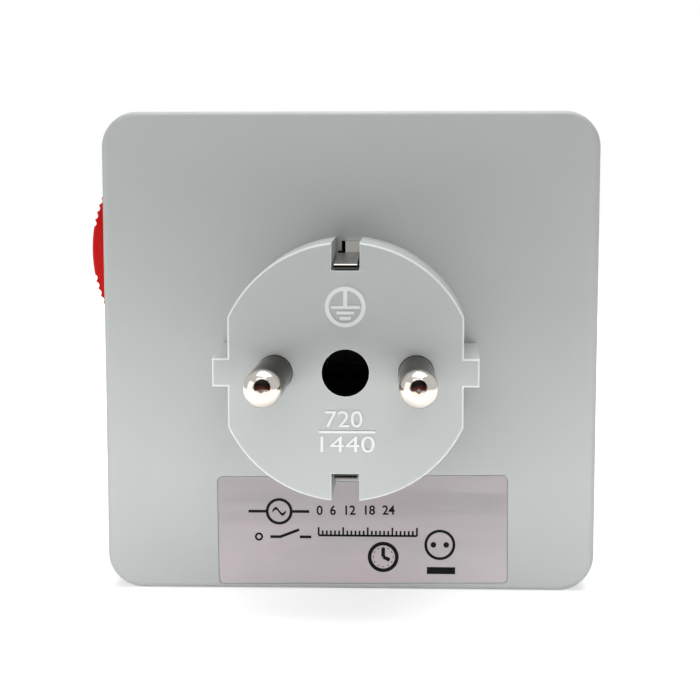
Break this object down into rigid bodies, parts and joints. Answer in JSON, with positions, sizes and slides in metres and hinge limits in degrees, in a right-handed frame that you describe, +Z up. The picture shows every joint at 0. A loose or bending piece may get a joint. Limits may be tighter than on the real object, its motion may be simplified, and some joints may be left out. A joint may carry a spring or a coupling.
{
  "type": "plug-in timer switch",
  "caption": "Square 24-hour mechanical timer with a plug behind, a socket in its turning tappet dial and a side override slider.",
  "frame": {"origin": "middle of the two plug pins, on the flat face of the plug boss", "axes": "+Z up, +X to the right of someone facing the pins, +Y from the pins towards the dial; the pins point along -Y"},
  "size_m": [0.0751, 0.0776, 0.0704],
  "materials": {
    "housing": "fine moulded texture, light grey",
    "label": "satin silver foil with dark print",
    "nickel": "bright nickel plate",
    "earth_metal": "nickel-plated strip",
    "ivory": "moulded, ivory",
    "shutter": "moulded, light grey",
    "carrier": "moulded, off-white",
    "brass": "stamped strip",
    "dial": "moulded, white",
    "tappet": "moulded, charcoal",
    "steel": "plain steel",
    "motor_metal": "zinc-plated sheet",
    "movement": "moulded acetal",
    "copper": "wound enamelled copper wire",
    "magnet": "sintered ferrite magnet",
    "resistor": "coated film resistor",
    "lead": "insulated wire",
    "switch": "moulded, black",
    "plunger": "moulded, red",
    "override": "satin moulded, red"
  },
  "bodies": {
    "body": {"rear_housing": "housing", "front_housing": "housing", "rating_label": "label", "centre_screw": "steel", "live_pin": "nickel", "neutral_pin": "nickel", "pin_retainer": "carrier", "earth_strap_upper": "earth_metal", "earth_strap_lower": "earth_metal", "earth_bridge": "earth_metal", "strap_wedge": "ivory", "socket_insert": "housing", "shutter_spring": "steel", "contact_carrier": "carrier", "live_contact": "brass", "neutral_contact": "brass", "live_busbar_in": "brass", "live_busbar_out": "brass", "neutral_busbar": "brass", "movement_plate": "movement", "movement_screws": "steel", "gear_axles": "steel", "motor_can": "motor_metal", "motor_cover": "motor_metal", "motor_coil": "copper", "motor_stator": "steel", "motor_resistor": "resistor", "motor_lead_live": "lead", "motor_lead_neutral": "lead", "switch_case": "switch", "switch_cover": "switch", "switch_fixed_contact": "brass", "switch_contact_leaf": "brass", "lever_pin": "steel", "lever_spring": "steel", "override_detent_spring": "steel"},
    "dial": {"dial_ring": "dial"},
    "tappets_00_02": {"tappets_00_02": "tappet"},
    "tappets_02_04": {"tappets_02_04": "tappet"},
    "tappets_04_06": {"tappets_04_06": "tappet"},
    "tappets_06_08": {"tappets_06_08": "tappet"},
    "tappets_08_10": {"tappets_08_10": "tappet"},
    "tappets_10_12": {"tappets_10_12": "tappet"},
    "tappets_12_14": {"tappets_12_14": "tappet"},
    "tappets_14_16": {"tappets_14_16": "tappet"},
    "tappets_16_18": {"tappets_16_18": "tappet"},
    "tappets_18_20": {"tappets_18_20": "tappet"},
    "tappets_20_22": {"tappets_20_22": "tappet"},
    "tappets_22_24": {"tappets_22_24": "tappet"},
    "gear_two": {"gear_two": "movement"},
    "gear_one": {"gear_one": "movement"},
    "motor_pinion": {"motor_pinion": "movement"},
    "motor_rotor": {"motor_rotor": "magnet"},
    "follower": {"follower_lever": "movement"},
    "plunger": {"switch_plunger": "plunger"},
    "override": {"override_slider": "override"},
    "shutter": {"shutter": "shutter"}
  },
  "joints": [
    {"name": "dial_turn", "type": "hinge", "parent": "body", "child": "dial", "pos_m": [0, 0.05, 0], "axis": [0, 1, 0], "continuous": true},
    {"name": "tappets_00_02_press", "type": "slide", "parent": "dial", "child": "tappets_00_02", "axis": [0, -1, 0], "range_m": [0, 0.0022]},
    {"name": "tappets_02_04_press", "type": "slide", "parent": "dial", "child": "tappets_02_04", "axis": [0, -1, 0], "range_m": [0, 0.0022]},
    {"name": "tappets_04_06_press", "type": "slide", "parent": "dial", "child": "tappets_04_06", "axis": [0, -1, 0], "range_m": [0, 0.0022]},
    {"name": "tappets_06_08_press", "type": "slide", "parent": "dial", "child": "tappets_06_08", "axis": [0, -1, 0], "range_m": [0, 0.0022]},
    {"name": "tappets_08_10_press", "type": "slide", "parent": "dial", "child": "tappets_08_10", "axis": [0, -1, 0], "range_m": [0, 0.0022]},
    {"name": "tappets_10_12_press", "type": "slide", "parent": "dial", "child": "tappets_10_12", "axis": [0, -1, 0], "range_m": [0, 0.0022]},
    {"name": "tappets_12_14_press", "type": "slide", "parent": "dial", "child": "tappets_12_14", "axis": [0, -1, 0], "range_m": [0, 0.0022]},
    {"name": "tappets_14_16_press", "type": "slide", "parent": "dial", "child": "tappets_14_16", "axis": [0, -1, 0], "range_m": [0, 0.0022]},
    {"name": "tappets_16_18_press", "type": "slide", "parent": "dial", "child": "tappets_16_18", "axis": [0, -1, 0], "range_m": [0, 0.0022]},
    {"name": "tappets_18_20_press", "type": "slide", "parent": "dial", "child": "tappets_18_20", "axis": [0, -1, 0], "range_m": [0, 0.0022]},
    {"name": "tappets_20_22_press", "type": "slide", "parent": "dial", "child": "tappets_20_22", "axis": [0, -1, 0], "range_m": [0, 0.0022]},
    {"name": "tappets_22_24_press", "type": "slide", "parent": "dial", "child": "tappets_22_24", "axis": [0, -1, 0], "range_m": [0, 0.0022]},
    {"name": "gear_two_turn", "type": "hinge", "parent": "body", "child": "gear_two", "pos_m": [0.02036, 0.042, -0.02036], "axis": [0, 1, 0], "continuous": true},
    {"name": "gear_one_turn", "type": "hinge", "parent": "body", "child": "gear_one", "pos_m": [0.02461, 0.042, -0.013], "axis": [0, 1, 0], "continuous": true},
    {"name": "motor_pinion_turn", "type": "hinge", "parent": "body", "child": "motor_pinion", "pos_m": [0.02702, 0.042, -0.02011], "axis": [0, 1, 0], "continuous": true},
    {"name": "rotor_turn", "type": "hinge", "parent": "body", "child": "motor_rotor", "pos_m": [0.02357, 0.03, -0.02182], "axis": [0, 1, 0], "continuous": true},
    {"name": "follower_tilt", "type": "hinge", "parent": "body", "child": "follower", "pos_m": [-0.0295, 0.0451, 0.025], "axis": [-1, 0, 0], "range_deg": [0, 5.06]},
    {"name": "plunger_press", "type": "slide", "parent": "body", "child": "plunger", "axis": [0, -1, 0], "range_m": [0, 0.00133]},
    {"name": "override_slide", "type": "slide", "parent": "body", "child": "override", "axis": [0, 0, -1], "range_m": [0, 0.004]},
    {"name": "shutter_turn", "type": "hinge", "parent": "body", "child": "shutter", "pos_m": [0, 0.0354, 0], "axis": [0, 1, 0], "range_deg": [0, 38], "stiffness_Nm_per_rad": 0.004, "springref_deg": -17.19}
  ],
  "couplings": [
    {"joint": "gear_two_turn", "follows": "dial_turn", "ratio": -5},
    {"joint": "gear_one_turn", "follows": "dial_turn", "ratio": 16.25},
    {"joint": "motor_pinion_turn", "follows": "dial_turn", "ratio": -44.688},
    {"joint": "follower_tilt", "follows": "tappets_12_14_press", "rad_per_m": 40},
    {"joint": "plunger_press", "follows": "tappets_12_14_press", "ratio": 0.6}
  ]
}
